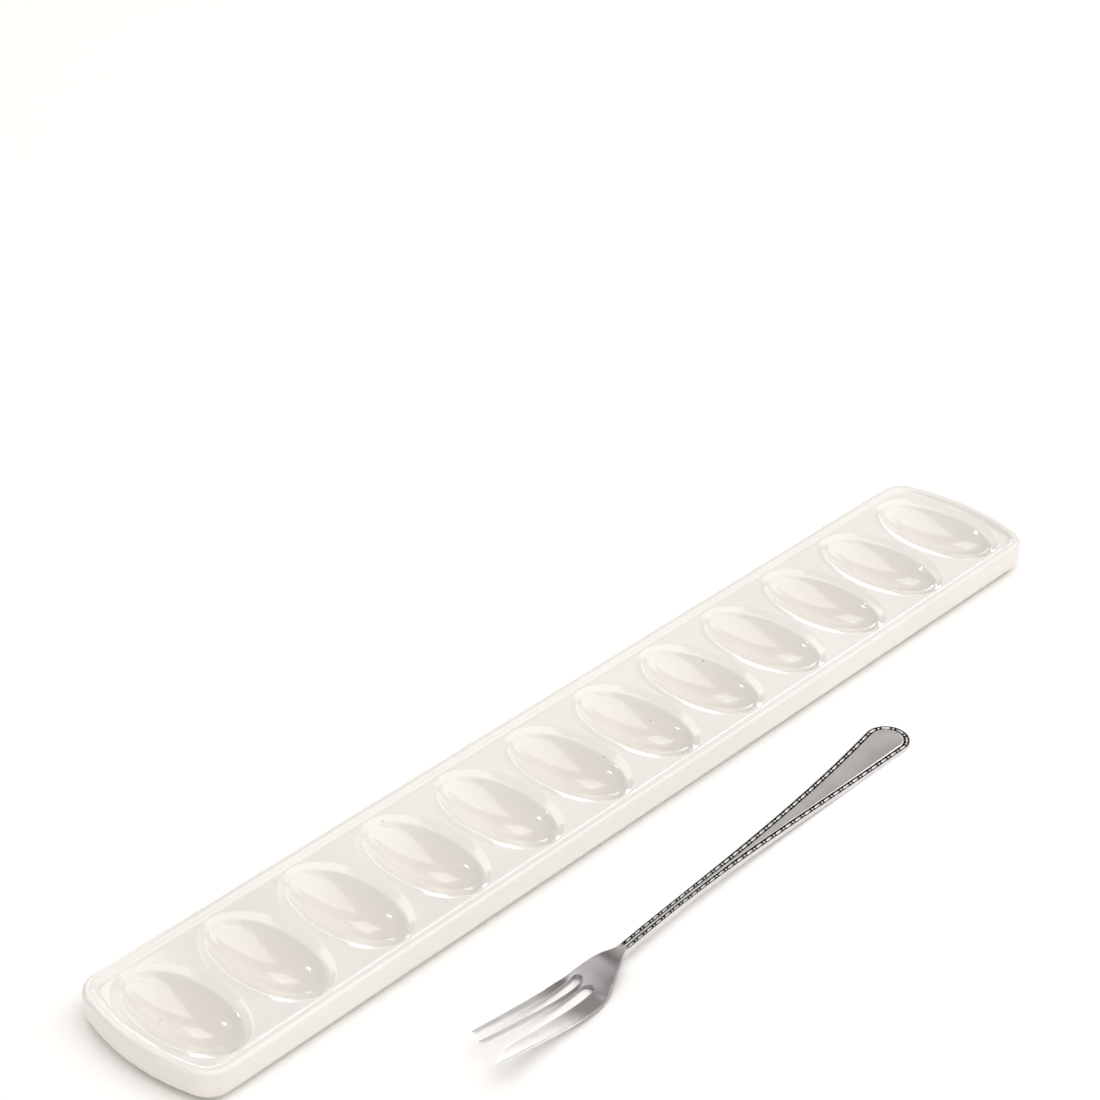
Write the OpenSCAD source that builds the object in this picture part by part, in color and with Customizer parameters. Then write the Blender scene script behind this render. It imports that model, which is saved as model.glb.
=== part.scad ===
// Deviled egg platter with its serving fork
// A long, narrow platter of glazed stoneware with one row of oval wells, each for half an egg,
// and a one-piece plated fork with a broad cutting tine, laid along the platter's front.
// Sizes are millimetres. +X runs along the row of wells, +Y from the fork to the platter, +Z up.
// The origin is on the table, under the middle of the box that the set fills.

/* [Egg wells] */
// Number of wells in the row
well_count = 12; // [4:1:16]
// Length of a well across the platter, lip to lip
well_len = 61.5; // [52:0.5:74]
// Width of a well along the platter, lip to lip
well_w = 39.4; // [34:0.2:46]
// Depth of a well below the deck
well_depth = 9; // [7:0.25:11]
// Flat ridge left between two neighbouring lips
ridge_w = 1.6; // [0.8:0.1:6]
// Radius of the rounded lip of a well
lip_r = 5; // [3:0.1:6]
// Angle at which the lip runs out on the deck
lip_angle = 9; // [6:1:20]

/* [Platter] */
// Width of the raised rim, from the outer wall to where it starts to fall to the deck
rim_w = 4.4; // [3.8:0.1:7]
// Radius on the rim's outer edge
rim_outer_r = 2; // [1:0.1:2.4]
// Radius on the rim's inner edge
rim_inner_r = 1.4; // [0.6:0.1:1.4]
// Drop from the rim's crest to the deck between the wells
deck_drop = 1.9; // [1.2:0.1:3]
// Strip of deck between a well's end and the foot of the rim, along the platter's sides
side_land = 1.5; // [0.5:0.1:8]
// The same strip between the last well and the rim at the platter's end
end_land = 0.3; // [0.2:0.1:8]
// Radius of the gentle bow of each end, seen from above
end_bow_r = 100; // [80:1:200]
// Radius of the platter's corners, seen from above
corner_r = 12; // [9:0.5:18]
// Thickness of the deck between the wells
deck_t = 4; // [3:0.1:5]
// Thickness of a well's floor
floor_t = 3.3; // [2.5:0.1:5]
// Height of the well floors' undersides above the table
floor_lift = 0.8; // [0.4:0.1:4]
// Radius with which the outer wall turns under to the foot
foot_round = 7; // [3:0.5:8]
// Width of the flat ring that the platter stands on
foot_w = 3.5; // [2:0.1:6]

/* [Serving fork] */
// Length of the fork, from the handle's end to the cutting tine's point
fork_len = 276; // [230:1:320]
// Widest part of the handle, near its round end
handle_w = 19.2; // [12:0.2:24]
// Length over which the handle narrows to the stem
handle_taper = 150; // [90:1:165]
// Width of the stem
stem_w = 3.5; // [2.4:0.1:6]
// Thickness of the handle at its end
handle_t = 1.8; // [1.2:0.1:3]
// Thickness of the stem where it meets the head
neck_t = 2.4; // [1.8:0.1:4]
// Thickness of the head
head_t = 1.5; // [1.2:0.1:2.4]
// Thickness of the tines at their points
point_t = 1; // [0.8:0.1:2]
// Length of the head, from the neck to the cutting tine's point
head_len = 86; // [74:1:104]
// Length over which the neck spreads to the full width of the head
shoulder_len = 29; // [20:1:34]
// Width of the head across the three tines
head_w = 21.6; // [18:0.2:30]
// How much each side of the head draws in again towards the points
head_close = 0.8; // [0:0.1:2]
// Width of each of the two slender tines at its root
tine_w = 2.1; // [1.6:0.1:4]
// Width of the same tines at their blunt points
tine_tip_w = 1.6; // [1.2:0.1:4]
// Distance by which the middle tine leans outwards from its root to its point
tine_lean = 1.3; // [0:0.1:2.5]
// How much longer the middle tine is than the outer one
tine_step = 3; // [0:0.5:6]
// Width of the slot between the slender tines at its round root
slot_w = 3.8; // [2:0.1:4.4]
// Width of the slot beside the cutting tine at its round root
blade_slot_w = 4.5; // [2:0.1:5.4]
// Distance by which the cutting tine's inner edge leans outwards along its slot
blade_lean = 0.9; // [0:0.1:2]
// Length of the solid palm, from the neck to the root of the first slot
palm_len = 18; // [14:0.5:26]
// Distance by which the outer slender tine stops short of the cutting tine's point
tine_back = 11; // [3:0.5:16]
// Length of the slanting cut on the cutting tine's end
point_len = 12; // [4:0.5:16]
// Height of the stem's arch above the table
arch_h = 4.6; // [1:0.2:10]
// Slope of the tines, rising from the bowl
tine_slope = 14.5; // [0:0.5:20]
// How deep the head is dished from side to side
head_dish = 0.7; // [0.2:0.1:2]
// Width of the raised border round the handle
border_w = 2.4; // [1:0.1:3]
// Height of the border above the handle's middle panel
border_relief = 0.35; // [0.1:0.05:0.6]

/* [Laying out] */
// Gap between the platter's front and the fork's handle
fork_gap = 26.9; // [10:0.1:80]
// Distance of the handle's end from the middle of the platter, to the right
fork_end_x = 103.3; // [0:0.1:220]
// Turn of the fork away from the line of the platter
fork_turn = 4.3; // [0:0.1:20]

/* [Hidden] */
$fn = 96;

// Glaze and plate as the eye sees them
glaze_colour = [0.94, 0.92, 0.89];
plate_colour = [0.74, 0.73, 0.72];

// How far a cutter runs past the face that it cuts, and one piece into the next
overrun = deck_t / 4;
lap = floor_t / 16;

// Steps in the platter's curves, seen from above and in the rim's section
bow_steps = 10;
corner_steps = 9;
foot_steps = 7;
rim_steps = 5;
lip_steps = 4;

// Places and sizes of the platter that follow from the wells
pitch = well_w + ridge_w;
row_len = well_count * pitch - ridge_w;
deck_z = floor_lift + floor_t + well_depth;
rim_z = deck_z + deck_drop;
slope_start = rim_w - rim_inner_r * (1 - cos(45));
slope_end = slope_start + deck_drop - rim_inner_r * (1 - sin(45));
platter_w = well_len + 2 * (side_land + slope_end);
platter_len = row_len + 2 * (end_land + slope_end);
foot_in = foot_round + foot_w;

// Circles that make a well: the bowl's, and the lip's, which touch
well_stretch = well_len / well_w;
lip_x = well_w / 2 + lip_r * sin(lip_angle);
lip_drop = lip_r * cos(lip_angle);
bowl_fall = well_depth - lip_drop;
bowl_r = (pow(lip_x, 2) + pow(bowl_fall, 2) - pow(lip_r, 2)) / (2 * (bowl_fall + lip_r));
lip_from = 180 - atan2(bowl_r - bowl_fall, lip_x);

// Places along the fork, from the handle's end
end_r = handle_w / 2;
neck_s = fork_len - head_len;
bowl_s = neck_s + shoulder_len * 0.82;
tines_s = fork_len - tine_back;
edge_r = head_t / 5;
panel_share = 0.12;
stem_border_share = 0.85;
taper_power = 1.8;
shoulder_power = 1.2;
slope_blend = head_t * 2;
panel_crown = border_relief * 0.6;
arch_start = handle_w * 1.3;
arch_len = handle_taper;
drop_start = neck_s + shoulder_len * 0.18;
drop_len = bowl_s - drop_start;

// Where the fork lies, and the middle of the set from front to back
fork_end_y = -platter_w / 2 - fork_gap - end_r;
fork_front_y = fork_end_y - fork_len * sin(fork_turn) - fork_half(fork_len) * cos(fork_turn);
set_mid_y = (platter_w / 2 + fork_front_y) / 2;

// A share that eases from 0 to 1
function ease(q) = let (t = min(1, max(0, q))) t * t * (3 - 2 * t);

// Points of an arc about c, from angle a to angle b
function arc(c, r, a, b, steps) =
    [for (i = [0 : steps]) let (t = a + (b - a) * i / steps) c + r * [cos(t), sin(t)]];

// The platter's outline seen from above, moved in by inset
function outline(inset) =
    let (half = platter_w / 2 - inset,
         bow = end_bow_r - inset,
         r = max(corner_r - inset, foot_w / 8),
         bow_x = platter_len / 2 - end_bow_r,
         corner_y = half - r,
         corner_x = bow_x + sqrt(pow(bow - r, 2) - pow(corner_y, 2)),
         turn = asin(corner_y / (bow - r)),
         right = concat(
             arc([corner_x, -corner_y], r, -90, -turn, corner_steps),
             [for (i = [1 : bow_steps - 1]) let (t = turn * (2 * i / bow_steps - 1))
                 [bow_x + bow * cos(t), bow * sin(t)]],
             arc([corner_x, corner_y], r, turn, 90, corner_steps)))
    concat(right, [for (q = right) -q]);

// The rim's section as [distance in from the outer wall, height], from the foot over the rim
// to the deck and back down the inside of the foot
rim_section = concat(
    [[foot_in, 0]],
    arc([foot_round, foot_round], foot_round, 270, 180, foot_steps),
    arc([rim_outer_r, rim_z - rim_outer_r], rim_outer_r, 180, 90, rim_steps),
    arc([rim_w - rim_inner_r, rim_z - rim_inner_r], rim_inner_r, 90, 45, rim_steps - 2),
    [[slope_end, deck_z], [foot_in, deck_z]]);

// Faces between neighbouring rings of n points; closed joins the last ring to the first
function skin_faces(rings, n, closed) = [
    for (j = [0 : closed ? rings - 1 : rings - 2], i = [0 : n - 1])
        let (a = j * n, b = ((j + 1) % rings) * n, k = (i + 1) % n)
        [a + i, b + i, b + k, a + k]];

// Rim, outer wall and foot in one ring round the platter
module rim_ring() {
    rings = [for (q = rim_section) [for (p = outline(q[0])) [p[0], p[1], q[1]]]];
    n = len(rings[0]);
    polyhedron(points = [for (r = rings) each r],
               faces = skin_faces(len(rings), n, true), convexity = 6);
}

// Deck between the wells, let into the ring
module deck() {
    translate([0, 0, deck_z - deck_t])
        linear_extrude(deck_t) polygon(outline((slope_end + foot_in) / 2));
}

// Cone whose side touches the lip's circle where the circle's radius stands at angle t, cut off
// a little below that point and above the deck, which is at 0
module lip_cone(t) {
    touch = [lip_x + lip_r * cos(t), lip_r * sin(t) - lip_drop];
    low = touch[1] - lip_r / 4;
    flare = -tan(t);
    translate([0, 0, low])
        cylinder(h = overrun - low,
                 r1 = touch[0] + (low - touch[1]) * flare,
                 r2 = touch[0] + (overrun - touch[1]) * flare);
}

// Hollow of a well: the bowl, and the rounded lip as a few cones that touch its curve
module well_hollow() {
    base = well_depth + overrun;
    scale([1, well_stretch, 1])
        intersection() {
            union() {
                translate([0, 0, bowl_r - well_depth]) sphere(bowl_r);
                for (i = [1 : lip_steps])
                    lip_cone(lip_from + (90 + lip_angle - lip_from) * (i - 0.5) / lip_steps);
            }
            translate([0, 0, -base]) cylinder(h = base + overrun, r = well_w / 2 + lap / 2);
        }
}

// Underside of a well, which shows below the deck as a smooth bulge
module well_bulge() {
    base = well_depth + floor_t;
    scale([1, well_stretch, 1])
        intersection() {
            translate([0, 0, bowl_r - well_depth]) sphere(bowl_r + floor_t);
            translate([-well_w, -well_w, -base]) cube([2 * well_w, 2 * well_w, base - deck_t + lap]);
        }
}

// Puts a copy of its children at each well
module at_wells() {
    for (i = [0 : well_count - 1])
        translate([(i - (well_count - 1) / 2) * pitch, 0, deck_z]) children();
}

module platter() {
    color(glaze_colour)
        translate([0, -set_mid_y, 0])
            difference() {
                union() {
                    rim_ring();
                    deck();
                    at_wells() well_bulge();
                }
                at_wells() well_hollow();
            }
}

// Half the fork's width at a distance s from the handle's end
function fork_half(s) =
    s < end_r ? sqrt(pow(end_r, 2) - pow(end_r - s, 2))
    : s < neck_s
        ? stem_w / 2 + (end_r - stem_w / 2) * pow(max(0, 1 - (s - end_r) / handle_taper), taper_power)
    : stem_w / 2 + (head_w - stem_w) / 2
        * pow(sin(90 * min(1, (s - neck_s) / shoulder_len)), shoulder_power)
        - head_close * pow(max(0, (s - neck_s - shoulder_len) / (head_len - shoulder_len)), 2);

// Half the width of the panel inside the border
function panel_half(s) =
    let (w = fork_half(s), inner = end_r - border_w)
    max(panel_share * w,
        s < end_r ? sqrt(max(0, pow(inner, 2) - pow(end_r - s, 2)))
                  : w - min(border_w, stem_border_share * w));

// Height of the fork's underside above the table: the stem's arch, the drop at the neck
// into the bowl, and the tines' rise
function under_z(s) =
    let (past = max(0, s - bowl_s), m = tan(tine_slope))
    arch_h * ease((s - arch_start) / arch_len) * (1 - ease((s - drop_start) / drop_len))
    + sqrt(pow(past * m, 2) + pow(slope_blend, 2)) - slope_blend;

// Thickness of the fork
function fork_t(s) =
    handle_t + (neck_t - handle_t) * ease(s / neck_s)
    - (neck_t - head_t) * ease((s - drop_start) / drop_len)
    - (head_t - point_t) * ease((s - bowl_s) / (fork_len - bowl_s));

// The fork's section at s, from the middle of the underside round one side to the top
function half_section(s) =
    let (w = fork_half(s), p = panel_half(s), z = under_z(s), top = z + fork_t(s),
         onto_head = ease((s - neck_s) / shoulder_len),
         relief = border_relief * (1 - onto_head), crown = panel_crown * (1 - onto_head),
         dish = head_dish * onto_head, r = min(edge_r, w / 4))
    [for (q = [[0, z], [w / 2, z], [w - r, z], [w, z + r], [w, top - r], [w - r, top],
               [p + (w - p) * 0.3, top], [p, top - relief], [p / 2, top - relief + crown * 0.75]])
        [q[0], q[1] + dish * pow(q[0] / w, 2)]];

// A closed ring of points round the fork at s
function fork_ring(s) =
    let (h = half_section(s), n = len(h), top_mid = h[n - 1][1] + panel_crown * 0.25
         * (1 - ease((s - neck_s) / shoulder_len)))
    concat([for (q = h) [s, q[0], q[1]]],
           [[s, 0, top_mid]],
           [for (i = [n - 1 : -1 : 1]) [s, -h[i][0], h[i][1]]]);

// Stations along the fork, closer together where it curves
fork_stations = concat(
    [for (t = [10 : 10 : 80]) end_r * (1 - cos(t))],
    [for (i = [0 : 17]) end_r + (neck_s - end_r) * i / 18],
    [for (i = [0 : 13]) neck_s + shoulder_len * i / 14],
    [for (i = [0 : 8]) neck_s + shoulder_len + (head_len - shoulder_len + overrun) * i / 8]);

// The fork before its tines are cut
module fork_blank() {
    rings = [for (s = fork_stations) fork_ring(s)];
    n = len(rings[0]);
    last = (len(rings) - 1) * n;
    polyhedron(points = [for (r = rings) each r],
               faces = concat(skin_faces(len(rings), n, false),
                              [[for (i = [0 : n - 1]) (i + n / 2) % n]],
                              [[for (i = [n - 1 : -1 : 0]) last + (i + n / 2) % n]]),
               convexity = 6);
}

// What is cut away between and beyond the tines, seen from above: the slots with their round
// roots, the space past the slender tines' blunt points, and the slant of the cutting tine. The
// slots' straight sides start a little inside their round roots
module tine_cuts() {
    root = neck_s + palm_len + slot_w / 2;
    blade_root = neck_s + palm_len + (tine_step + blade_slot_w) / 2;
    first = tine_w - fork_half(root);
    second = first + slot_w;
    third = second + tine_w;
    broad = third + blade_slot_w;
    blunt = tine_tip_w / 4;
    tip = tines_s - 2 * blunt;
    side = -fork_half(tines_s);
    mid = (second + third) / 2 - tine_lean;
    low = mid - tine_tip_w / 2;
    high = mid + tine_tip_w / 2;
    beyond = -head_w / 2 - overrun;
    reach = fork_len + 2 * point_len;
    corner = fork_len - point_len;
    inner = broad + blade_lean;
    slant = (fork_half(fork_len) - inner) / point_len;
    tuck = blunt / 4;
    polygon([[root, first + tuck], [tip, side + tine_tip_w], [tines_s, side + tine_tip_w - blunt],
             [tines_s, side + blunt], [tip, side], [tip, beyond], [reach, beyond],
             [reach, inner + slant * (reach - corner)], [corner, inner],
             [blade_root, broad - tuck], [blade_root, third + tuck],
             [tip + tine_step, high], [tines_s + tine_step, high - blunt],
             [tines_s + tine_step, low + blunt], [tip + tine_step, low], [root, second - tuck]]);
    translate([root, first + slot_w / 2]) circle(slot_w / 2);
    translate([blade_root, third + blade_slot_w / 2]) circle(blade_slot_w / 2);
}

module serving_fork() {
    color(plate_colour)
        translate([fork_end_x, fork_end_y - set_mid_y, 0])
            rotate([0, 0, 180 + fork_turn])
                difference() {
                    fork_blank();
                    translate([0, 0, -fork_len / 2]) linear_extrude(fork_len) tine_cuts();
                }
}

platter();
serving_fork();
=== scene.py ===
# Deviled egg platter with its serving fork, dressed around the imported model.
# Metres, in the model's own frame: +X along the row of wells, +Y from the fork to the platter, +Z up.
import math

import bmesh
import bpy
import numpy as np
from mathutils import Matrix, Vector
from mathutils.geometry import delaunay_2d_cdt


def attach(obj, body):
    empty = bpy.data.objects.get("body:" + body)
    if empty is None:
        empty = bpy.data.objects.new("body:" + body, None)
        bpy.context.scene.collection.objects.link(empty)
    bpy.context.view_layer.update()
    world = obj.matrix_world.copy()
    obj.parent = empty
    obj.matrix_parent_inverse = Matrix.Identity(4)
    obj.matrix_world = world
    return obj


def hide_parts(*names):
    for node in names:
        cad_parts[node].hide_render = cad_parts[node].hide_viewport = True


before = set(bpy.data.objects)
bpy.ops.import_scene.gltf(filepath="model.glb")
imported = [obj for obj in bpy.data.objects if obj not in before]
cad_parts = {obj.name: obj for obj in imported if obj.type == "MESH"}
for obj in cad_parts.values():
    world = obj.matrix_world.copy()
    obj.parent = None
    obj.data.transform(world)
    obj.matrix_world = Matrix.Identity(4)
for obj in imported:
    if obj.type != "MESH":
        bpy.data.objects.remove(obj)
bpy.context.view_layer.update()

# The camera stands at the photograph's place, above and to the left of the platter's near end,
# and looks along the row with a long lens.
camera_at = (-0.7398, -0.6290, 0.7306)
look_down = 0.562
look_round = -0.8194
lens_length = 98.18
film_width = 36
nearest_seen = 0.05


def in_scene(name, data):
    """Makes an object of a mesh, a camera or a light, and links it into the scene."""
    made = bpy.data.objects.new(name, data)
    bpy.context.scene.collection.objects.link(made)
    return made


lens_data = bpy.data.cameras.new("long_lens")
lens_data.sensor_width = film_width
lens_data.lens = lens_length
lens_data.clip_start = nearest_seen
long_lens = in_scene("long_lens", lens_data)
long_lens.location = camera_at
long_lens.rotation_euler = (math.pi / 2 - look_down, 0, look_round)
bpy.context.scene.camera = long_lens


# The platter is one piece of pressed stoneware: a low raised rim, a wall that turns under to a
# narrow foot, and a row of oval wells whose rounded lips almost touch. It is dipped in a thick,
# glossy, warm-white glaze, and only the foot it stands on in the kiln is wiped bare.
mm = 0.001  # the sizes of the pieces are in millimetres
tiny = 1e-6
same_spot = 1e-4

half_long = 250.98
half_wide = 37.7297
row_y = 33.583
bow_r = 100.0
corner_r = 12.0
deck_z = 13.1

# Wells: a bowl, a rounded lip and a shoulder that slopes up to the deck. A half width and a half
# length give each oval.
pitch = 41.0
well_count = 12
stretch = 61.5 / 39.4
well_x = 20.15
well_y = 31.5
lip_x = 16.8
lip_r = 2.3
wall_angle = math.radians(54)
shoulder_slope = math.radians(13)
shoulder_taper = 0.42
shoulder_shares = (0.35, 0.7, 0.93)
bowl_x = 11.0
bowl_stretch = 1.95
deck_ring = 0.12
bowl_steps = 18
lip_steps = 9

# Rim: a flat crest with rounded edges and a slope of 45 degrees that runs out in the deck at
# inner_d. A distance d is measured in from the outer wall.
rim_rise = 1.9
rim_flat = 3.0
rim_round = 1.4
rim_edge_r = 2.0
rim_foot_r = 2.0
rim_slope = math.pi / 4
inner_d = 4.9
slope_top = rim_flat + rim_round * math.sin(rim_slope)
slope_top_z = rim_rise - rim_round * (1 - math.cos(rim_slope))
slope_end = slope_top + slope_top_z
fillet_run = rim_foot_r * math.tan(rim_slope / 2)
rim_points = (inner_d, 4.5, 4.2, slope_top, 3.7, 3.35, rim_flat)
crest_steps = 9
wall_heights = (10.5, 8.6)

# Foot and underside: the wall turns under to a flat foot, and each well bulges below the deck's
# back. foot_edge goes back from the foot's inner wall and up.
foot_round = 7.0
foot_in = 10.5
foot_lead = 0.2
foot_edge = ((0.7, 0), (0.5, 0.05), (0.15, 0.25), (0, 0.7))
foot_steps = 12
inner_wall_shares = (0.35, 0.7, 1.0)
deck_under = 9.1
floor_t = 3.3
bulge_r = 22.83
bulge_depth = 9.0
bulge_blend = 1.2
under_steps = 15

# Columns of points round a well, with some at the distances beside_rim from the rim. Between the
# well's edge and the rim lie rings, each at a distance from one of them, or at most a share of the
# way.
around = 96
beside_rim = (0.35, 0.8, 1.4, 2.2, 3.4)
beside_open = 5.2
crowding = 0.11
past_well = ((0.2, 0.1), (0.9, 0.3))
before_rim = ((3.4, 0.6), (2.2, 0.45), (1.3, 0.3), (0.6, 0.15), (0.0, 0.0))
path_steps = 600
path_lead = 1.0

end_x = (well_count - 1) / 2 * pitch
bow_x = half_long - bow_r
corner_y = half_wide - corner_r
corner_bow = bow_r - corner_r
corner_x = bow_x + math.sqrt(corner_bow**2 - corner_y**2)


def rim_height(d):
    """Height of the rim above the deck at a distance d in from the outer wall."""
    low = slope_end + fillet_run
    knee = slope_end - fillet_run * math.cos(rim_slope)
    shoulder = rim_rise - rim_round + np.sqrt(np.maximum(rim_round**2 - (d - rim_flat) ** 2, 0))
    run_out = rim_foot_r - np.sqrt(np.maximum(rim_foot_r**2 - (low - d) ** 2, 0))
    return np.select([d <= rim_flat, d <= slope_top, d <= knee, d < low],
                     [rim_rise, shoulder, slope_top_z - (d - slope_top), run_out], 0.0)


def distance_in(x, y):
    """Distance in from the outer wall."""
    x, y = np.abs(x), np.abs(y)
    r = np.hypot(x - bow_x, y)
    to_side = y - corner_y
    to_bow = r - corner_bow
    to_corner = np.hypot(x - corner_x, y - corner_y)
    past_bow = y * corner_bow > corner_y * r
    out = np.where((x > bow_x) & ~past_bow, np.maximum(to_side, to_bow), to_side)
    out = np.where((x > corner_x) & past_bow, to_corner, out)
    return corner_r - out


def end_path(d):
    """Points and outward angles round the right-hand end, from front to back, d in from the wall."""
    turn = math.asin(corner_y / corner_bow)
    side = np.linspace(end_x - path_lead, corner_x, path_steps, endpoint=False)
    front = np.linspace(-math.pi / 2, -turn, path_steps, endpoint=False)
    bow = np.linspace(-turn, turn, path_steps, endpoint=False)
    back = np.linspace(turn, math.pi / 2, path_steps, endpoint=False)
    r = corner_r - d
    x = np.concatenate([side, corner_x + r * np.cos(front), bow_x + (bow_r - d) * np.cos(bow),
                        corner_x + r * np.cos(back), side[::-1]])
    y = np.concatenate([side * 0 - half_wide + d, -corner_y + r * np.sin(front), (bow_r - d) * np.sin(bow),
                        corner_y + r * np.sin(back), side * 0 + half_wide - d])
    out = np.concatenate([side * 0 - math.pi / 2, front, bow, back, side * 0 + math.pi / 2])
    return x, y, out


def well_profile():
    """Half section of a well from its middle over the lip and the sloping shoulder to the deck, as
    (half width, half length, height above the deck) of the ring at each step."""
    lip_t = np.linspace(wall_angle, shoulder_slope, lip_steps)
    lip = lip_x - lip_r * np.sin(lip_t)
    top_x = float(lip[-1])
    drop = (well_x - top_x) * math.tan(shoulder_slope)
    lip_z = -drop - lip_r * (math.cos(shoulder_slope) - np.cos(lip_t))
    bowl_r = lip[0] / math.sin(wall_angle)
    bowl_t = np.linspace(0, wall_angle, bowl_steps)[:-1]
    bowl = bowl_r * np.sin(bowl_t)
    bowl_z = lip_z[0] + bowl_r * (math.cos(wall_angle) - np.cos(bowl_t))
    out = np.array(shoulder_shares)
    half_w = np.concatenate([bowl, lip, top_x + (well_x - top_x) * out, [well_x + deck_ring]])
    z = np.concatenate([bowl_z, lip_z, -drop * (1 - out), [0.0]])

    # The oval's length eases from the bowl's own stretch to the shoulder's slow taper.
    run = top_x - bowl_x
    u = np.clip((half_w - bowl_x) / run, 0, 1)
    from_bowl, to_top = 2 * u**3 - 3 * u**2 + 1, 3 * u**2 - 2 * u**3
    bowl_bend, top_bend = u**3 - 2 * u**2 + u, u**3 - u**2
    top_y = well_y - (well_x - top_x) * shoulder_taper
    between = (from_bowl * bowl_x * bowl_stretch + to_top * top_y
               + run * (bowl_bend * bowl_stretch + top_bend * shoulder_taper))
    shoulder = well_y - (well_x - half_w) * shoulder_taper
    half_l = np.select([half_w < bowl_x, half_w < top_x], [half_w * bowl_stretch, between], shoulder)
    return half_w, half_l, z


def ring_faces(rings, points, closed=True):
    """Four-sided faces that join each ring of points to the next."""
    faces = []
    for j in range(rings - 1):
        for i in range(points if closed else points - 1):
            k = (i + 1) % points
            faces.append((j * points + i, j * points + k, (j + 1) * points + k, (j + 1) * points + i))
    return faces


def moved_on(faces, base, flip=False):
    """Faces renumbered to come after base other points, and turned over where flip is true."""
    return [tuple(base + i for i in (face[::-1] if flip else face)) for face in faces]


def rim_columns(last):
    """The columns round one well: their angle on the oval, and where each meets the rim or the next
    well, with the rim's outward angle there. last is true for the well at the right-hand end."""
    side_y = half_wide - inner_d
    corner = math.atan2(side_y / stretch, pitch / 2)
    quarter = around // 4
    near = side_y - np.array(beside_rim)
    open_y = side_y - beside_open
    between = np.linspace(-open_y, open_y, quarter - 1 - 2 * len(near))
    beside = np.arctan2(np.concatenate([[-side_y], -near, between, near[::-1]]) / stretch, pitch / 2)
    even = np.linspace(0, 1, quarter, endpoint=False)
    along = corner + (even - crowding * np.sin(2 * math.pi * even)) * (math.pi - 2 * corner)
    a = np.concatenate([beside, along, math.pi + beside, math.pi + along])
    c, s = np.cos(a), np.sin(a)
    reach = np.minimum(pitch / 2 / np.maximum(np.abs(c), tiny),
                       side_y / stretch / np.maximum(np.abs(s), tiny))
    x, y = reach * c, reach * s * stretch
    on_rim = np.abs(y) > side_y - tiny
    out = np.where(y > 0, math.pi / 2, -math.pi / 2)
    if last:
        end_a = np.linspace(-math.pi / 2, math.pi / 2, around // 2 + 1)
        path_x, path_y, path_out = end_path(inner_d)
        path_x = path_x - end_x
        seen = np.arctan2(path_y / stretch, path_x)
        end = [np.interp(end_a, seen, value) for value in (path_x, path_y, path_out)]
        left = c < -tiny
        a = np.concatenate([end_a, a[left]])
        x, y, out = (np.concatenate([new, old[left]]) for new, old in zip(end, (x, y, out)))
        on_rim = np.concatenate([np.ones(len(end_a), bool), on_rim[left]])
    return a, x, y, on_rim, out


def under_height(x, y):
    """Height of the platter's underside near one well: the deck's back with the floor's bulge."""
    r2 = x**2 + (y / stretch) ** 2
    ball = bulge_r + floor_t
    bulge = deck_z - bulge_depth + bulge_r - np.sqrt(np.maximum(ball**2 - r2, 0))
    near = np.maximum(bulge_blend - np.abs(bulge - deck_under), 0) / bulge_blend
    return np.minimum(bulge, deck_under) - near**2 * bulge_blend / 4


def well_cell(last):
    """Top and underside of the platter round one well, with the well's middle at x = 0."""
    a, x, y, on_rim, out = rim_columns(last)
    mid_x = end_x if last else 0.0
    rings = [np.stack([np.cos(a) * w, np.sin(a) * n, a * 0 + z], 1) for w, n, z in zip(*well_profile())]
    well_edge = rings[-1][:, :2]
    cell_edge = np.stack([x, y], 1)
    run = np.maximum(np.linalg.norm(cell_edge - well_edge, axis=1), tiny)
    shares = [np.minimum(away / run, most) for away, most in past_well]
    shares += [1 - np.minimum(away / run, most) for away, most in before_rim]
    for share in shares:
        flat = well_edge + (cell_edge - well_edge) * share[:, None]
        rings.append(np.hstack([flat, a[:, None] * 0]))
    top = np.array(rings)
    top[:, :, 2] += deck_z + rim_height(distance_in(top[:, :, 0] + mid_x, top[:, :, 1]))

    shift = foot_in - inner_d
    under_x = np.where(on_rim, x - shift * np.cos(out), x)
    under_y = np.where(on_rim, y - shift * np.sin(out), y * (half_wide - foot_in) / (half_wide - inner_d))
    low = np.array([np.stack([under_x * t, under_y * t, under_height(under_x * t, under_y * t)], 1)
                    for t in np.linspace(0, 1, under_steps)])
    verts = np.concatenate([top.reshape(-1, 3), low.reshape(-1, 3)])
    faces = ring_faces(len(top), around)
    faces += moved_on(ring_faces(len(low), around), len(top) * around, flip=True)
    return verts, faces


def rim_track():
    """Where the deck meets the rim, once round the platter: x, y and the rim's outward angle."""
    a, x, y, on_rim, out = rim_columns(True)
    end = (np.arange(len(a)) <= around // 2) | (on_rim & (y > 0))
    half = [np.stack([x + end_x, y, out], 1)[end]]
    a, x, y, on_rim, out = rim_columns(False)
    back = on_rim & (y > 0)
    for well in range(well_count - 2, 0, -1):
        half.append(np.stack([x + (well * pitch - end_x), y, out], 1)[back])
    half.append(np.stack([x - end_x, y, out], 1)[back & (x > tiny)])
    half = np.concatenate(half)
    track = [half[0]]
    for spot in np.concatenate([half[1:], half * [-1, -1, 1] + [0, 0, math.pi]]):
        if math.dist(spot[:2], track[-1][:2]) > same_spot:
            track.append(spot)
    if math.dist(track[-1][:2], track[0][:2]) < same_spot:
        track.pop()
    return np.array(track).T


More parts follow.
